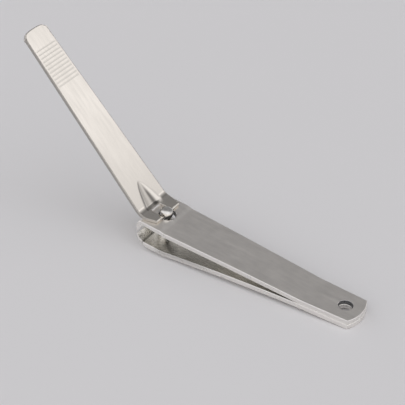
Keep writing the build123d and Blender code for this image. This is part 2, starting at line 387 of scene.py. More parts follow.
def nearest(values, value):
    """Index of the line nearest to a value."""
    return int(np.argmin(np.abs(values - value)))


def block(us, vs, front, back, side):
    """First and last line both ways of the block between two stations and within an offset."""
    return nearest(us, front), nearest(us, back), nearest(vs, -side), nearest(vs, side)


def circle_outline(centre, radius, squeeze=1.0):
    """Puts points onto an ellipse, each along its own ray; squeeze shortens the ellipse along the strip."""

    def onto(points):
        ray_out = points - centre
        ray_out = ray_out / np.linalg.norm(ray_out, axis=1)[:, None]
        return centre + ray_out * radius * np.array([squeeze, 1.0])

    return onto


# ---------------------------------------------------------------- jaws

# Fixed sizes of the strips in millimetres. A station counts from the pin axis towards the tail, and a height
# from the table.
EDGE_FLAT = 0.15  # flat ground on each cutting edge
LEAD = 0.06  # share of the bowed run that serves as the second leg of the heel's corner
UPPER_ROOT = -3.6  # station where the upper lip leaves the pad
UPPER_NOSE = 9.4  # the upper lip's front face is upright below this height
INNER_BACK, INNER_TOP = 0.3, 10.05  # inner end of the upper lip: distance behind the root, and height
INNER_LIP_END = -2.9  # station up to which the inner face counts as lip
UPPER_RELIEF = 1.0  # station where the pad has its full thickness again
UPPER_ROUND, INNER_ROUND, LOWER_ROUND = 0.6, 0.5, 0.7  # reach of the rounded corners
UPPER_BOW, LOWER_BOW = 0.12, 0.38  # rise of a strip over a straight line from heel to join
UPPER_CLEAR, LOWER_CLEAR = 0.9, 1.0  # the bowed points start this far behind the heel
LOWER_HEEL = np.array([4.2, 2.52])  # end of the flat floor: station and height
LOWER_ROOT, UNDER_ROOT = -3.4, -2.0  # stations where the lower lip leaves the floor and the underside
CLEARANCE_BACK = 0.4  # the clearance hole lies this far behind the pin axis, along the pad
FLOOR_AT_PIN = 2.95  # height of the floor at the pin
LOOP_TIP = 0.09  # the loop hole's rim lies this much further back on the upper face
UPPER_REACH, LOWER_REACH = 3.4, 2.42  # half side of the net's square round the pin hole
LOOP_REACH = 3.6  # half length of the net's block round the loop hole
UPPER_LEAN, LOWER_LEAN = (-2.8, 3.6), (-3.2, 1.6)  # stations between which the pin hole's lean is full
LEAN_START, LEAN_FADE = 0.5, 2.2  # the lean comes in over the first run and goes out over the second
LOOP_LEAN = np.array([-8.0, -4.0, 4.0, 5.6])  # lean round the loop hole: starts, full from, full to, ends
LEAST_SOFT = 0.12  # share of the rim softening at a cutting edge
UPPER_EDGE_RUN, LOWER_EDGE_RUN = 4.2, 3.6  # the softening is full this far behind the cutting edge
TAIL_RUN = 24.0  # the cross lines bow towards the tail arc over this run
BOW_POWER = 1.5  # how the bowing of the cross lines grows along its run
FINE_TAIL = 60.0  # station where the cross lines change their spacing before the loop hole
TAIL_LINES = np.array([0.5, 0.25, 0.0])  # last cross lines, from the tail end
OUTER_LINES = np.array([0.6, 0.72, 0.84, 0.93, 0.965, 1.0])  # long lines beside the holes, in half widths
FOLD_LINES = np.array([-0.12, -0.03, 0.03, 0.12])  # extra cross lines at a fold
RING_STEPS = np.array([0.18, 0.36, 0.54, 0.7, 0.84, 1.0])  # rings from a block's border to the hole

# Tones stored on the mesh: painted shade and painted dark reflections. They darken the steel's colour at the lower
# lip's fold and on the floor behind the pin, where the steel is shaded and mirrors dark surroundings.
FOLD_TONE, FLOOR_TONE = 0.8, 0.5  # strength at the lip's fold, and on the floor behind the pin
FOLD_UNIT, FOLD_CENTRE, FOLD_END = 0.45, -0.6, 0.1  # width of the fold's bell, its middle and end in widths
FLOOR_TONE_IN, FLOOR_TONE_OUT = (0.3, 3.0), (30.0, 12.0)  # stations between which the floor's tone changes


def strip_warp(jaws, end):
    """Plan of a strip: a head of constant width, straight tapering sides and a tail bowed to its arc.

    A line across the strip is shifted back by the sagitta of the tail arc at its offset, more and more over
    the last third, and the half width falls in a straight line from the shoulder to the tail corner.
    """
    half_head = (LOWER_BOX[1][1] - LOWER_BOX[0][1]) / 2
    half_tail = jaws.tail_width / 2
    full = jaws.tail_arc - math.sqrt(jaws.tail_arc**2 - half_tail**2)
    corner = end - full

    def half_width(u):
        return np.interp(u, [jaws.shoulder, corner], [half_head, half_tail])

    def warp(u, v):
        sagitta = jaws.tail_arc - np.sqrt(jaws.tail_arc**2 - (v * half_tail) ** 2)
        x = u - sagitta * np.clip((u - end + TAIL_RUN) / TAIL_RUN, 0, 1) ** BOW_POWER
        return np.stack([x, v * half_width(x)], -1)

    return warp, half_width


def strip_net(jaws, front, hole_x, hole_r, hole_reach, loop_x, folds):
    """Net of a strip in plan, from the cutting edge to the tail, with the pin hole and the loop hole."""
    end = LOWER_BOX[1][0]
    warp, half_width = strip_warp(jaws, end)
    hole_front, hole_back = hole_x - hole_reach, hole_x + hole_reach
    loop_front, loop_back = loop_x - LOOP_REACH, loop_x + LOOP_REACH
    us = lines(
        np.linspace(front, UPPER_ROOT, 17),
        np.linspace(UPPER_ROOT, hole_front, 4)[:-1],
        np.linspace(hole_front, hole_back, 17),
        np.linspace(hole_back, FINE_TAIL, 60)[1:],
        np.linspace(FINE_TAIL, loop_front, 6),
        np.linspace(loop_front, loop_back, 13),
        np.linspace(loop_back, end - TAIL_LINES[0], 5),
        end - TAIL_LINES[1:],
        (np.asarray(folds)[:, None] + FOLD_LINES).ravel(),
    )
    inner = hole_reach / half_width(0.0)
    vs = np.linspace(-inner, inner, 17)
    vs = np.unique(np.round(np.concatenate([-OUTER_LINES, vs, OUTER_LINES]), 6))
    hole_block = block(us, vs, hole_front, hole_back, inner)
    loop_block = block(us, vs, loop_front, loop_back, OUTER_LINES[0])
    hole = circle_outline(np.array([hole_x, 0.0]), hole_r, math.cos(HEAD_SLOPE))
    loop = circle_outline(np.array([loop_x, 0.0]), LOOP_R)
    return net(us, vs, warp, [(hole_block, hole, RING_STEPS), (loop_block, loop, RING_STEPS)])


def side_map(path, path_u, lean):
    """Map from plan to space: a station is shifted by the lean of the holes and looked up on a side curve."""

    def onto(plan):
        u = plan[:, 0] - np.interp(plan[:, 0], *lean)
        return np.stack(
            [np.interp(u, path_u, path[:, 0]), plan[:, 1], np.interp(u, path_u, path[:, 1])], 1
        )

    return onto


def tail_points(level, jaws):
    """Tail end of a strip's face at a height, and the point over the flex axis where its bow ends."""
    tail = np.array([LOWER_BOX[1][0], level])
    join = np.array([FLEX[0], FLEX[2] - jaws.sheet + level])
    return tail, join


def bowed_run(heel, join, bow, clear):
    """Points of the bowed run from the heel to the join, without those close behind the heel's corner."""
    points = bowed_points(heel, join, bow, 40)
    return points[points[:, 0] > heel[0] + clear]


def lean_of(sheet, low, high):
    """Stations, and shift of the lower face at each, that set the walls of the holes square to the sheet.

    At a hole the shift is the sheet's thickness times the sine of the slope there, and it fades out between.
    """
    head, tail = sheet * math.sin(HEAD_SLOPE), sheet * math.sin(TAIL_SLOPE)
    stations = [low - LEAN_START, low, high, high + LEAN_FADE, *(LOOP[0] + LOOP_LEAN)]
    return stations, [0, head, head, 0, 0, tail, tail, 0]


def lip_stations(points, at):
    """Stations of a side curve: the distance along it in front of a point, and x behind that point."""
    distance = along(points)
    return np.where(np.arange(len(points)) <= at, points[at, 0] - (distance[at] - distance), points[:, 0])


def spread_stations(points, at, front):
    """Stations of the other side curve, whose lip has another length: the lip is spread over the same run."""
    span = along(points[: at + 1])
    stations = points[:, 0].copy()
    stations[: at + 1] = front + (points[at, 0] - front) * (span / span[-1])
    return stations


def edge_softness(plan, front, run):
    """Share of the rim softening: least at the cutting edge, and full at a run behind it."""
    return LEAST_SOFT + (1 - LEAST_SOFT) * smoothstep(front, front + run, plan[:, 0])


def bores_of(hole_x, hole_r):
    """Centre and radius in plan of a strip's two holes."""
    return [(np.array([LOOP[0], 0.0]), LOOP_R), (np.array([hole_x, 0.0]), hole_r)]


def floor_painted_shade(x):
    """Painted shade on the lower floor: a dark bell at the lip's fold, cut off behind it, and a darker patch
    behind the pin.
    """
    behind = (x - LOWER_ROOT) / FOLD_UNIT
    fold = FOLD_TONE * bell(behind, FOLD_CENTRE, 1.0) * (behind < FOLD_END)
    return fold + FLOOR_TONE * smoothstep(*FLOOR_TONE_IN, x) * smoothstep(*FLOOR_TONE_OUT, x)


def upper_jaw_shell(jaws):
    """Upper strip: outer curve over the lip, pad, step and bow, inner curve under them."""
    s, hole_r = jaws.sheet, jaws.pin_clearance
    front, tip = UPPER_BOX[0][0], LOWER_BOX[1][2] + jaws.edge_gap
    tail, join = tail_points(2 * s, jaws)
    heel = np.array([jaws.step_back + jaws.step_run, jaws.heel])
    lead = heel + (join - heel) * LEAD
    pad = np.array([jaws.step_back, sloped(jaws.step_back, 0, PIN_TOP[2], HEAD_SLOPE)])
    root = np.array([UPPER_ROOT, sloped(UPPER_ROOT, 0, PIN_TOP[2], HEAD_SLOPE)])
    nose = np.array([front, UPPER_NOSE])
    lip = arc_points(root, ray(HEAD_SLOPE), nose, 12)[::-1]
    outer_front = np.concatenate([np.linspace([front, tip], nose, 8)[:-1], lip])
    back = rounded_corners(np.array([root, pad, heel, lead]), UPPER_ROUND, 7)[:-1]
    bow = bowed_run(heel, join, UPPER_BOW, UPPER_CLEAR)
    outer = np.concatenate([outer_front, back[1:], bow, [tail]])
    outer_u = lip_stations(outer, len(outer_front) - 1)
    front_u = outer_u[0]

    drop = np.array([0, -s])
    inner_root = np.array([UPPER_ROOT + INNER_BACK, INNER_TOP])
    relief = np.array([UPPER_RELIEF, sloped(UPPER_RELIEF, 0, PIN_TOP[2], HEAD_SLOPE) - s])
    lip_in = np.linspace([front + EDGE_FLAT, tip], inner_root, 14)[:-1]
    corners = np.array([lip_in[-1], inner_root, relief, pad + drop, heel + drop, lead + drop])
    middle = rounded_corners(corners, INNER_ROUND, 7)
    inner = np.concatenate([lip_in, middle[1:-1], bow + drop, [tail + drop]])
    inner_u = spread_stations(inner, int(np.argmax(inner[:, 0] > INNER_LIP_END)), front_u)

    hole_x, loop_x = CLEARANCE_BACK * math.cos(HEAD_SLOPE), LOOP[0] + LOOP_TIP
    plan, quads = strip_net(jaws, front_u, hole_x, hole_r, UPPER_REACH, loop_x, [pad[0], heel[0]])
    top = side_map(outer, outer_u, ([front_u, outer[-1, 0]], [0, 0]))
    bottom = side_map(inner, inner_u, lean_of(s, *UPPER_LEAN))
    soft = edge_softness(plan, front_u, UPPER_EDGE_RUN)
    return sheet_shell(plan, quads, top, bottom, soft, 0 * soft, bores_of(hole_x, hole_r))


def lower_jaw_shell(jaws):
    """Lower strip: floor with its curled-up lip above, underside below."""
    s, hole_r, heel = jaws.sheet, jaws.pin_bore, LOWER_HEEL
    front, tip = LOWER_BOX[0][0], LOWER_BOX[1][2]
    tail, join = tail_points(s, jaws)
    lead = heel + (join - heel) * LEAD
    root = np.array([LOWER_ROOT, sloped(LOWER_ROOT, *heel, HEAD_SLOPE)])
    lip_end = np.array([front + EDGE_FLAT, tip])
    lip = arc_points(root, ray(HEAD_SLOPE + jaws.lip_fold), lip_end, 16)[::-1]
    floor = rounded_corners(np.array([root, heel, lead]), LOWER_ROUND, 7)[:-1]
    bow = bowed_run(heel, join, LOWER_BOW, LOWER_CLEAR)
    inner = np.concatenate([lip, floor[1:], bow, [tail]])
    inner_u = lip_stations(inner, len(lip) - 1)
    front_u = inner_u[0]

    drop = np.array([0, -s])
    low_root = np.array([UNDER_ROOT, sloped(UNDER_ROOT, *heel, HEAD_SLOPE) - s])
    low_lip = arc_points(low_root, ray(HEAD_SLOPE), np.array([front, tip]), 20)[::-1]
    under = rounded_corners(np.array([low_root, heel + drop, lead + drop]), LOWER_ROUND, 7)[:-1]
    outer = np.concatenate([low_lip, under[1:], bow + drop, [tail + drop]])
    outer_u = spread_stations(outer, len(low_lip) - 1, front_u)

    hole_x = (FLOOR_AT_PIN - PIN_TOP[2]) * math.tan(HEAD_SLOPE)
    plan, quads = strip_net(jaws, front_u, hole_x, hole_r, LOWER_REACH, LOOP[0], [root[0]])
    top = side_map(inner, inner_u, ([front_u, inner[-1, 0]], [0, 0]))
    bottom = side_map(outer, outer_u, lean_of(s, *LOWER_LEAN))
    soft = edge_softness(plan, front_u, LOWER_EDGE_RUN)
    return sheet_shell(plan, quads, top, bottom, soft, floor_painted_shade(plan[:, 0]), bores_of(hole_x, hole_r))


# ---------------------------------------------------------------- lever

# Fixed sizes of the lever, in millimetres unless the comment says otherwise.
TIP_RUN = 12.0  # the cross lines bow towards the tip's arc over this run
ARM_LINE = 3.2  # the taper of the arms and the blade works outside this offset
BAR_FADE, WINDOW_FADE = 0.5, 0.45  # runs over which the bar's round section goes over into the arms
HOLLOW_TAPER, HOLLOW_FADE = 0.62, 0.7  # powers by which the hollow's width and depth fall
HOLLOW_START, HOLLOW_RISE = 0.8, 0.9  # share of the depth at the window, and the run to the full depth
BUMP_RUN, BUMP_SHARE = (0.8, 2.6), 0.9  # where the bump below comes in, and its share of the hollow's depth
GRIP_FADE = (1.0, 0.3)  # the grooves die out between these distances from the side
SOFT_SHEET = (0.25, 1.1)  # a rim is softened from the first thickness on, and fully from the second
GROOVE_LINES = np.array([-0.75, -0.5, -0.33, -0.17, 0.0, 0.17, 0.33, 0.5, 0.75])  # in groove widths
RIM_LINES = np.array([0.12, 0.3])  # extra lines inside a rim
WALL_LINES = np.array([0.12, 0.25])  # extra lines outside the window and behind the bar
BEFORE_ARM = 2.98  # last line inside ARM_LINE
HOLLOW_SPARE, GRIP_SPARE = 0.4, 0.8  # the fine lines run on past the hollow, and start before the grooves
HAIR, NEAR = 1e-9, 1e-6  # tolerances, in millimetres

# Painted shade and painted dark reflections in the hollow, stored on the mesh like those of the strips. A bell has
# its offset and its width at the knee, in half widths of the hollow, and how much wider it is at the far end.
NEAR_TONE, FAR_TONE = (-0.8, 0.07, 0.1), (0.3, 0.24, -0.1)
TONE_PEAK, WALL_TONE = 1.1, 0.5  # strength of the bells, and of the wall between them
FAR_TONE_OUT = (0.92, 0.4)  # shares of the hollow's length between which the far bell dies out
WALL_TONE_IN = (0.05, -0.5)  # offsets between which the wall's tone grows
KNEE_TONE_IN = (-0.6, -0.2)  # stations between which the tones start, at the window's edge


def lever_frame(lever, s):
    """Point and normal of the lever's thumb face at a distance from the knee, in the pad's side view.

    The path runs level from the bar to the bend, turns along a circle of the bend radius through the crank
    angle, and then runs straight to the tip. The normal turns with it.
    """
    turn = lever.crank
    reach = bend_reach(lever)
    part = np.clip((s + reach) / (2 * reach), 0, 1) * turn
    top = lever.lift + lever.sheet
    centre = np.array([reach - lever.knee, top + lever.bend_radius])
    curve = centre - lever.bend_radius * np.stack([np.sin(part), np.cos(part)], 1)
    curve = curve + np.maximum(s - reach, 0)[:, None] * np.array([-math.cos(turn), math.sin(turn)])
    curve = curve + np.minimum(s + reach, 0)[:, None] * np.array([-1.0, 0.0])
    return curve, np.stack([np.sin(part), np.cos(part)], 1)


def bend_reach(lever):
    """Distance from the knee to either end of the bend: the radius times the tangent of half the crank."""
    return lever.bend_radius * math.tan(lever.crank / 2)


def hollow_half(lever, t):
    """Half width of the hollow at a share of its length: it falls along (1 - t)^HOLLOW_TAPER."""
    return 0.5 * lever.hollow_width * (1 - t) ** HOLLOW_TAPER + NEAR


def hollow_depth(lever, s, y):
    """Pressed hollow: a flat-bottomed trough that runs on over the bend to the window.

    Its width and depth fall by powers of 1 - t to a rounded far end. Over the bend the depth also takes in
    the height of the bend's arc over the corner of the two flats, (reach - s)² / 2R. Across the trough the
    walls follow 3t² - 2t³.
    """
    t = np.clip(s / lever.hollow_length, 0, 1)
    wall = smoothstep(lever.hollow_floor, 1.0, np.abs(y) / hollow_half(lever, t))
    corner = np.maximum(bend_reach(lever) - s, 0) ** 2 / (2 * lever.bend_radius)
    rise = smoothstep(0.0, HOLLOW_RISE, s)
    start = HOLLOW_START * lever.hollow_depth * (1 - rise)
    depth = start + (lever.hollow_depth * (1 - t) ** HOLLOW_FADE + corner) * rise
    return depth * (1 - wall) * (t < 1)


def hollow_painted_shade(lever, s, y):
    """Painted shade and painted dark reflections in the hollow: a narrow dark bell at the near rim, a wider one at
    the foot of the far wall, and a weaker darkening on the near wall that grows towards its rim.
    """
    t = np.clip(s / lever.hollow_length, 0, 1)
    across = y / hollow_half(lever, t)
    near, far = (
        TONE_PEAK * bell(across, at, width + growth * t) for at, width, growth in (NEAR_TONE, FAR_TONE)
    )
    far = far * smoothstep(*FAR_TONE_OUT, t)
    wall = WALL_TONE * smoothstep(*WALL_TONE_IN, across) * (across > NEAR_TONE[0])
    return np.minimum(near + far + wall, 1.0) * (t < 1) * smoothstep(*KNEE_TONE_IN, s)


def grip_depth(lever, s, y, half):
    """Cross grooves: each a half cosine across its width, dying out near the sides."""
    pitch, count = lever.grip_pitch, lever.grip_count
    offset = s - lever.grip_start
    row = np.clip(np.round(offset / pitch), 0, count - 1)
    across = (offset - row * pitch) / (0.5 * lever.grip_width)
    pulse = np.where(np.abs(across) < 1, np.cos(0.5 * np.pi * across), 0.0)
    start, end = GRIP_FADE
    return lever.grip_depth * pulse * (1 - smoothstep(half - start, half - end, np.abs(y)))


def bar_axis(lever):
    """Station of the bar's axis, from the knee."""
    return -lever.knee - BAR_BEHIND


def bar_pinch(lever, s, y):
    """How far both faces close in on the bar's middle plane: fully at the round ends of its section.

    Outside the window the section is round only past the bar's axis; inside, it is round on both sides.
    """
    r = lever.sheet / 2
    axis = bar_axis(lever)
    out = np.clip((axis - s) / r, 0, 1)
    far = r * (1 - np.sqrt(np.clip(1 - out**2, 0, 1)))
    back = np.clip((s - axis) / r, 0, 1)
    near = r * (1 - np.sqrt(np.clip(1 - back**2, 0, 1)))
    near = near * (1 - smoothstep(axis + r, axis + r + BAR_FADE, s))
    half = lever.window / 2
    return far + near * (1 - smoothstep(half, half + WINDOW_FADE, np.abs(y)))


def round_window(lever, plan):
    """Knee side corners of the window: border points near a corner go onto its circle."""
    c = lever.window_corner
    centre_s, centre_y = -lever.window_lip - c, lever.window / 2 - c
    off = np.stack([plan[:, 0] - centre_s, np.abs(plan[:, 1]) - centre_y], 1)
    on_border = (np.abs(off - c) < NEAR).any(1)
    hit = on_border & (off > -HAIR).all(1) & (off < c + NEAR).all(1)
    scale = np.where(hit, c / np.maximum(np.linalg.norm(off, axis=1), HAIR), 1.0)
    plan[:, 0] = np.where(hit, centre_s + off[:, 0] * scale, plan[:, 0])
    plan[:, 1] = np.where(hit, np.sign(plan[:, 1]) * (centre_y + off[:, 1] * scale), plan[:, 1])


def round_tip(lever, plan, half_width):
    """Tip corners: a square block at each corner goes onto a quarter disc.

    A point at shares p and q of the block goes to p √(1 - q²/2) and q √(1 - p²/2).
    """
    k, half_tip = lever.tip_corner, lever.tip_width / 2
    edge_y = half_width(plan[:, 0])
    arc = np.sqrt(lever.tip_arc**2 - np.minimum(plan[:, 1] ** 2, half_tip**2))
    edge_s = lever.blade - lever.tip_arc + arc
    p = np.clip((plan[:, 0] - edge_s) / k + 1, 0, 1)
    q = np.clip((np.abs(plan[:, 1]) - edge_y) / k + 1, 0, 1)
    p_new, q_new = p * np.sqrt(1 - q * q / 2), q * np.sqrt(1 - p * p / 2)
    plan[:, 0] += (p_new - p) * k
    plan[:, 1] += np.sign(plan[:, 1]) * (q_new - q) * k


def lever_net(lever):
    """Plan of the flat lever blank: bar, tapering arms round the window, and the blade to its bowed tip."""
    r = lever.sheet / 2
    axis = bar_axis(lever)
    half_knee, half_tip, half_bar = lever.knee_width / 2, lever.tip_width / 2, lever.bar / 2
    corner = lever.blade - (lever.tip_arc - math.sqrt(lever.tip_arc**2 - half_tip**2))
    half_window = lever.window / 2
    reach = bend_reach(lever)

    def half_width(s):
        return np.interp(s, [axis, -reach, reach, corner], [half_bar, half_knee, half_knee, half_tip])

    def warp(s, v):
        a = np.abs(v)
        sagitta = lever.tip_arc - np.sqrt(lever.tip_arc**2 - (v * half_tip / half_knee) ** 2)
        x = s - sagitta * np.clip((s - lever.blade + TIP_RUN) / TIP_RUN, 0, 1) ** BOW_POWER
        spread = (a - ARM_LINE) * (half_width(x) - ARM_LINE) / (half_knee - ARM_LINE)
        y = np.where(a > ARM_LINE, ARM_LINE + spread, a)
        return np.stack([x, np.sign(v) * y], -1)

    quarter = np.sin(np.linspace(0, np.pi / 2, 9)) * r
    groove_at = lever.grip_start + np.arange(lever.grip_count) * lever.grip_pitch
    hollow_end = lever.hollow_length + HOLLOW_SPARE
    us = lines(
        axis - quarter,
        axis + quarter,
        axis + r + WALL_LINES,
        np.linspace(axis + r + BAR_FADE, -lever.window_lip, 20),
        np.linspace(-lever.window_lip, hollow_end, 66),
        np.linspace(hollow_end, lever.grip_start - GRIP_SPARE, 40),
        (groove_at[:, None] + GROOVE_LINES * lever.grip_width).ravel(),
        np.linspace(lever.grip_start + lever.grip_count * lever.grip_pitch, lever.blade, 14),
        lever.blade - RIM_LINES,
    )
    inside = np.linspace(0, half_window, 19)
    middle = np.array([*(half_window + WALL_LINES), half_window + WINDOW_FADE, BEFORE_ARM, ARM_LINE])
    outside = np.linspace(ARM_LINE, half_knee, 14)[1:]
    half_vs = lines(inside, middle, outside, half_knee - RIM_LINES)
    vs = np.concatenate([-half_vs[:0:-1], half_vs])
    window = block(us, vs, axis + r, -lever.window_lip, half_window)
    plan, quads = net(us, vs, warp, [(window, None, ())])
    round_window(lever, plan)
    round_tip(lever, plan, half_width)
    return plan, quads, half_width


def lever_shell(lever):
    """The flat blank bent at the knee, with the hollow, its bump below, the grooves and the round bar."""
    plan, quads, half_width = lever_net(lever)
    s, y = plan[:, 0], plan[:, 1]
    path, normal = lever_frame(lever, s)
    pinch = bar_pinch(lever, s, y)
    hollow = hollow_depth(lever, s, y)
    bump = hollow * smoothstep(*BUMP_RUN, s) * BUMP_SHARE
    grip = grip_depth(lever, s, y, half_width(s))
    cos, sin = math.cos(HEAD_SLOPE), math.sin(HEAD_SLOPE)

    def place(height):
        side = path + normal * height[:, None]
        x = PIN_TOP[0] + cos * side[:, 0] + sin * side[:, 1]
        z = PIN_TOP[2] - sin * side[:, 0] + cos * side[:, 1]
        return np.stack([x, y, z], 1)

    def top(_):
        return place(-pinch - hollow - grip)

    def bottom(_):
        return place(-lever.sheet + pinch - bump)

    soft = smoothstep(*SOFT_SHEET, lever.sheet - 2 * pinch)
    # the hollow's tone is painted shade and painted dark reflection
    return sheet_shell(plan, quads, top, bottom, soft, hollow_painted_shade(lever, s, y))


# ---------------------------------------------------------------- materials

BELT_GRAIN = 900.0  # scale of the belt grain
GRAIN_HEIGHT = 0.00002  # height of the grain at full scratch, in metres
# the stored tone is painted shade and painted dark reflection
TONE_SHARE = 0.3  # a full tone leaves this share of the steel's colour
NOISE_MIDDLE = (0.3, 0.7)  # the range that a noise texture mostly stays in
TABLE_SHADE = 0.985  # darkest share of the table's colour


def add(tree, kind, **inputs):
    """A node with its unlinked inputs set by name."""
    node = tree.nodes.new(kind)
    for name, value in inputs.items():
        node.inputs[name.replace("_", " ")].default_value = value
    return node


def grain(tree, place, stretch, scale, detail=4.0):
    """Fine noise drawn out along the strip, as left by a grinding belt."""
    mapping = add(tree, "ShaderNodeMapping", Scale=stretch)
    tree.links.new(place.outputs["Object"], mapping.inputs["Vector"])
    noise = add(tree, "ShaderNodeTexNoise", Scale=scale, Detail=detail, Roughness=0.6)
    tree.links.new(mapping.outputs["Vector"], noise.inputs["Vector"])
    return noise


def spread_range(tree, source, start, end, low, high):
    """A node that maps a value's range from start to end onto low to high."""
    node = add(tree, "ShaderNodeMapRange", From_Min=start, From_Max=end, To_Min=low, To_Max=high)
    tree.links.new(source, node.inputs["Value"])
    return node


def between(tree, source, low, high):
    """The noise's middle range spread from low to high."""
    return spread_range(tree, source, *NOISE_MIDDLE, low, high).outputs["Result"]


def shaded(colour, share):
    """A colour times a share."""
    return [value * share for value in colour]


def mixed(tree, factor, first, second):
    """Colour from first to second by a factor's output. The first may be another node's output."""
    mix = add(tree, "ShaderNodeMix")
    mix.data_type = "RGBA"
    if isinstance(first, bpy.types.NodeSocket):
        tree.links.new(first, mix.inputs["A"])
    else:
        mix.inputs["A"].default_value = (*first, 1)
    mix.inputs["B"].default_value = (*second, 1)
    tree.links.new(factor, mix.inputs["Factor"])
    return mix.outputs["Result"]


def steel(name, colour, roughness, spread, stretch, scratch, mottling, shade=0.9):
    """Bare steel: belt grain in roughness and height, mottling in the colour, and the piece's stored tone, which
    darkens it as painted shade and painted dark reflection.

    spread is how far the grain moves the roughness either way, stretch draws the grain out, and scratch is
    its strength as a height. mottling is the scale of the blotches, and shade the darkest share of the colour.
    """
    material = bpy.data.materials.new(name)
    material.use_nodes = True
    tree = material.node_tree
    shader = tree.nodes["Principled BSDF"]
    shader.inputs["Metallic"].default_value = 1.0
    place = tree.nodes.new("ShaderNodeTexCoord")
    fine = grain(tree, place, stretch, BELT_GRAIN)
    broad = grain(tree, place, (1.0, 1.0, 1.0), mottling, 3.0)
    blotches = add(tree, "ShaderNodeMath")
    blotches.operation = "ADD"
    tree.links.new(between(tree, fine.outputs["Fac"], 0.0, 0.5), blotches.inputs[0])
    tree.links.new(between(tree, broad.outputs["Fac"], 0.0, 0.5), blotches.inputs[1])
    # the point attribute holds painted shade and painted dark reflection, mixed in as a darker colour
    mark = add(tree, "ShaderNodeAttribute")
    mark.attribute_name = "painted_shade_and_reflection"
    bare = mixed(tree, blotches.outputs[0], shaded(colour, shade), colour)
    toned = mixed(tree, mark.outputs["Fac"], bare, shaded(colour, TONE_SHARE))
    tree.links.new(toned, shader.inputs["Base Color"])
    tree.links.new(
        between(tree, fine.outputs["Fac"], roughness - spread, roughness + spread), shader.inputs["Roughness"]
    )
    bump = add(tree, "ShaderNodeBump", Strength=scratch, Distance=GRAIN_HEIGHT)
    tree.links.new(fine.outputs["Fac"], bump.inputs["Height"])
    tree.links.new(bump.outputs["Normal"], shader.inputs["Normal"])
    return material


def table_top(name, colour):
    """Matt pale table with very slow tone changes."""
    material = bpy.data.materials.new(name)
    material.use_nodes = True
    tree = material.node_tree
    shader = tree.nodes["Principled BSDF"]
    shader.inputs["Roughness"].default_value = 0.75
    place = tree.nodes.new("ShaderNodeTexCoord")
    noise = grain(tree, place, (1.0, 1.0, 1.0), 6.0, 2.0)
    tones = mixed(tree, noise.outputs["Fac"], shaded(colour, TABLE_SHADE), colour)
    tree.links.new(tones, shader.inputs["Base Color"])
    return material


# ---------------------------------------------------------------- operators


def jaw_materials(finish):
    """Ground flats, tumbled edges, smoother inner faces and hole walls of the strips, made only once. The hole
    walls are a rougher punched finish, and their dark colour is painted shade.
    """
    recipes = (
        ("ground flats", finish.jaw, finish.jaw_gloss, 0.05, (0.12, 1.0, 1.0), 0.22, 260.0, 0.86),
        ("tumbled edges", finish.jaw_edge, 0.3, 0.06, (0.3, 1.0, 0.3), 0.1, 160.0, 0.95),
        ("inner flats", finish.jaw_inner, 0.27, 0.06, (0.12, 1.0, 1.0), 0.2, 200.0, 0.88),
        # dark colour of the upper holes' walls: painted shade
        ("hole walls", finish.bore, 0.4, 0.05, (1.0, 1.0, 0.3), 0.1, 200.0, 0.9),
    )
    return [bpy.data.materials.get(recipe[0]) or steel(*recipe) for recipe in recipes]


class CLIPPER_OT_lower_jaw(bpy.types.Operator):
    """Bottom strip with its curled-up cutting lip"""

    bl_idname = "clipper.lower_jaw"
    bl_label = "Lower jaw"

    def execute(self, context):
        jaws, finish = context.scene.clipper_jaws, context.scene.clipper_finish
        flats, edges, inner, _ = jaw_materials(finish)
        steels = [inner, edges, flats, edges]
        shell = lower_jaw_shell(jaws)
        make_piece("lower_strip", shell, steels, jaws.edge_radius, "lower_jaw", "lower_jaw")
        return {"FINISHED"}


class CLIPPER_OT_upper_jaw(bpy.types.Operator):
    """Top strip with its raised pad, step and curled-down cutting lip"""

    bl_idname = "clipper.upper_jaw"
    bl_label = "Upper jaw"

    def execute(self, context):
        jaws, finish = context.scene.clipper_jaws, context.scene.clipper_finish
        steels = jaw_materials(finish)
        shell = upper_jaw_shell(jaws)
        make_piece("upper_strip", shell, steels, jaws.edge_radius, "upper_jaw", "upper_jaw")
        return {"FINISHED"}


class CLIPPER_OT_pin(bpy.types.Operator):
    """Turned pin: its CAD shape stays and gets a polished finish"""

    bl_idname = "clipper.pin"
    bl_label = "Pin"

    def execute(self, context):
        finish = context.scene.clipper_finish
        polish = steel(
            "polished pin", finish.pin, 0.2, 0.08, (1.0, 1.0, 1.0), scratch=0.9, mottling=1500.0, shade=0.7
        )
        pin = frame["nodes"]["pin"]
        if not pin.material_slots:
            pin.data.materials.append(None)
        for slot in pin.material_slots:
            slot.material = polish
        return {"FINISHED"}


class CLIPPER_OT_lever(bpy.types.Operator):
    """Cranked lever with its window, bar, pressed hollow and grip grooves"""

    bl_idname = "clipper.lever"
    bl_label = "Lever"

    def execute(self, context):
        lever, finish = context.scene.clipper_lever, context.scene.clipper_finish
        face = steel(
            "polished lever", finish.lever, finish.lever_gloss, 0.05, (0.1, 1.0, 0.1), 0.12, 120.0, shade=0.95
        )
        edge = steel(
            "polished lever edges", finish.lever_edge, 0.22, 0.05, (0.3, 1.0, 0.3), 0.15, 200.0, shade=0.9
        )
        shell = lever_shell(lever)
        steels = [face, edge, face]
        make_piece("lever_strip", shell, steels, lever.edge_radius, "lever", "lever")
        return {"FINISHED"}


# Stage, in metres and watts.
TABLE_HALF, TABLE_LINES = 2.0, 5
KEY_TARGET, KEY_DIRECTION, KEY_DISTANCE = (0.01, 0.0, 0.02), (0.62, 0.67, 0.42), 1.3
KEY_SIZE, KEY_POWER, KEY_COLOUR = (0.9, 0.9), 0.12, (1.0, 0.95, 0.88)
CAMERA_PLACE, CAMERA_LENS, CAMERA_SENSOR = (0.23765, -0.3438, 0.3170), 143.0, 36.0
CAMERA_RIGHT = (0.8267, 0.5627, 0.0)
CAMERA_UP = (-0.3261, 0.4791, 0.8149)
CAMERA_BACK = (0.4585, -0.6737, 0.5796)
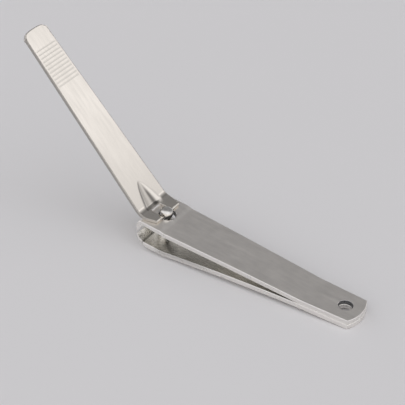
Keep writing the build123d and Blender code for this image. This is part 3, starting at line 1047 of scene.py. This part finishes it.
# Lobes of the room light: direction, the cosines where the change starts and ends, and the strengths there.
BESIDE = (0.55, 0.66, 0.51)
ROOM_LOBES = (
    ((0.96, 0.0, -0.28), -0.6, 0.6, 1.0, 1.2),
    ((-0.3, 0.67, 0.67), 0.6, 0.88, 1.0, 0.27),
    (BESIDE, 0.82, 0.95, 1.0, 0.67),
    (BESIDE, 0.992, 1.0, 1.0, 1.6),
)


class CLIPPER_OT_stage(bpy.types.Operator):
    """Pale table, soft studio light and camera"""

    bl_idname = "clipper.stage"
    bl_label = "Stage"

    def execute(self, context):
        scene = context.scene
        span = np.linspace(-TABLE_HALF, TABLE_HALF, TABLE_LINES)
        x, y = np.meshgrid(span, span, indexing="ij")
        points = np.stack([x, y, np.full_like(x, CAD_BOX[0][2])], -1).reshape(-1, 3)
        row = np.arange(TABLE_LINES - 1)
        corner = (row[:, None] * TABLE_LINES + row).ravel()
        faces = np.stack([corner, corner + TABLE_LINES, corner + TABLE_LINES + 1, corner + 1], 1)
        mesh = bpy.data.meshes.new("table")
        mesh.from_pydata(points.tolist(), [], faces.tolist())
        mesh.materials.append(table_top("table", scene.clipper_finish.floor))
        table = bpy.data.objects.new("table", mesh)
        scene.collection.objects.link(table)
        self.panel("key", Vector(KEY_TARGET), KEY_DIRECTION, KEY_DISTANCE, KEY_SIZE, KEY_POWER, KEY_COLOUR)
        self.room(scene)
        self.camera(scene)
        scene.view_settings.view_transform = "Standard"
        return {"FINISHED"}

    @staticmethod
    def camera(scene):
        """Camera with a long lens, turned by its own right, up and back directions."""
        data = bpy.data.cameras.new("camera")
        data.sensor_width = CAMERA_SENSOR
        data.lens = CAMERA_LENS
        data.clip_start = 0.01
        camera = bpy.data.objects.new("camera", data)
        axes = Matrix((Vector(CAMERA_RIGHT), Vector(CAMERA_UP), Vector(CAMERA_BACK)))
        camera.matrix_world = Matrix.Translation(CAMERA_PLACE) @ axes.transposed().to_4x4()
        scene.collection.objects.link(camera)
        scene.camera = camera

    @staticmethod
    def room(scene):
        """Room light: the product of its lobes. One side is brighter, there is a dim patch high up, and a
        second dim patch with a small glow in it.
        """
        world = bpy.data.worlds.new("room")
        scene.world = world
        world.use_nodes = True
        tree = world.node_tree
        background = tree.nodes["Background"]
        background.inputs["Color"].default_value = (0.98, 0.975, 1.0, 1)
        direction = tree.nodes.new("ShaderNodeTexCoord").outputs["Generated"]

        def lobe(axis, start, end, low, high):
            dot = tree.nodes.new("ShaderNodeVectorMath")
            dot.operation = "DOT_PRODUCT"
            dot.inputs[1].default_value = Vector(axis).normalized()
            tree.links.new(direction, dot.inputs[0])
            spread = spread_range(tree, dot.outputs["Value"], start, end, low, high)
            spread.interpolation_type = "SMOOTHSTEP"
            return spread.outputs["Result"]

        strength = lobe(*ROOM_LOBES[0])
        for numbers in ROOM_LOBES[1:]:
            product = tree.nodes.new("ShaderNodeMath")
            product.operation = "MULTIPLY"
            tree.links.new(strength, product.inputs[0])
            tree.links.new(lobe(*numbers), product.inputs[1])
            strength = product.outputs[0]
        tree.links.new(strength, background.inputs["Strength"])

    @staticmethod
    def panel(name, target, direction, distance, size, power, colour):
        """A rectangular soft light that looks at the target from a direction."""
        data = bpy.data.lights.new(name, "AREA")
        data.shape = "RECTANGLE"
        data.size, data.size_y = size
        data.energy = power
        data.color = colour
        light = bpy.data.objects.new(name, data)
        away = Vector(direction).normalized()
        light.location = target + away * distance
        light.rotation_euler = away.to_track_quat("Z", "Y").to_euler()
        bpy.context.scene.collection.objects.link(light)


class CLIPPER_PT_panel(bpy.types.Panel):
    """Buttons for each piece and their sizes"""

    bl_label = "Toenail clipper"
    bl_idname = "CLIPPER_PT_panel"
    bl_space_type = "VIEW_3D"
    bl_region_type = "UI"
    bl_category = "Clipper"

    def draw(self, context):
        for operator in OPERATORS:
            self.layout.operator(operator.bl_idname)
        for name in GROUPS:
            group = getattr(context.scene, name)
            for key in group.__annotations__:
                self.layout.prop(group, key)


GROUPS = {"clipper_jaws": ClipperJaws, "clipper_lever": ClipperLever, "clipper_finish": ClipperFinish}
OPERATORS = (
    CLIPPER_OT_lower_jaw,
    CLIPPER_OT_upper_jaw,
    CLIPPER_OT_pin,
    CLIPPER_OT_lever,
    CLIPPER_OT_stage,
)


def register():
    """Registers the classes and hangs the property groups on the scene."""
    for cls in (*GROUPS.values(), *OPERATORS, CLIPPER_PT_panel):
        bpy.utils.register_class(cls)
    for name, group in GROUPS.items():
        setattr(bpy.types.Scene, name, bpy.props.PointerProperty(type=group))


def unregister():
    """Takes back what register did."""
    for name in GROUPS:
        delattr(bpy.types.Scene, name)
    for cls in reversed((*GROUPS.values(), *OPERATORS, CLIPPER_PT_panel)):
        bpy.utils.unregister_class(cls)


def main():
    """Makes every piece and the stage."""
    register()
    bpy.ops.clipper.lower_jaw()
    bpy.ops.clipper.upper_jaw()
    bpy.ops.clipper.pin()
    bpy.ops.clipper.lever()
    bpy.ops.clipper.stage()


if __name__ == "__main__":
    main()
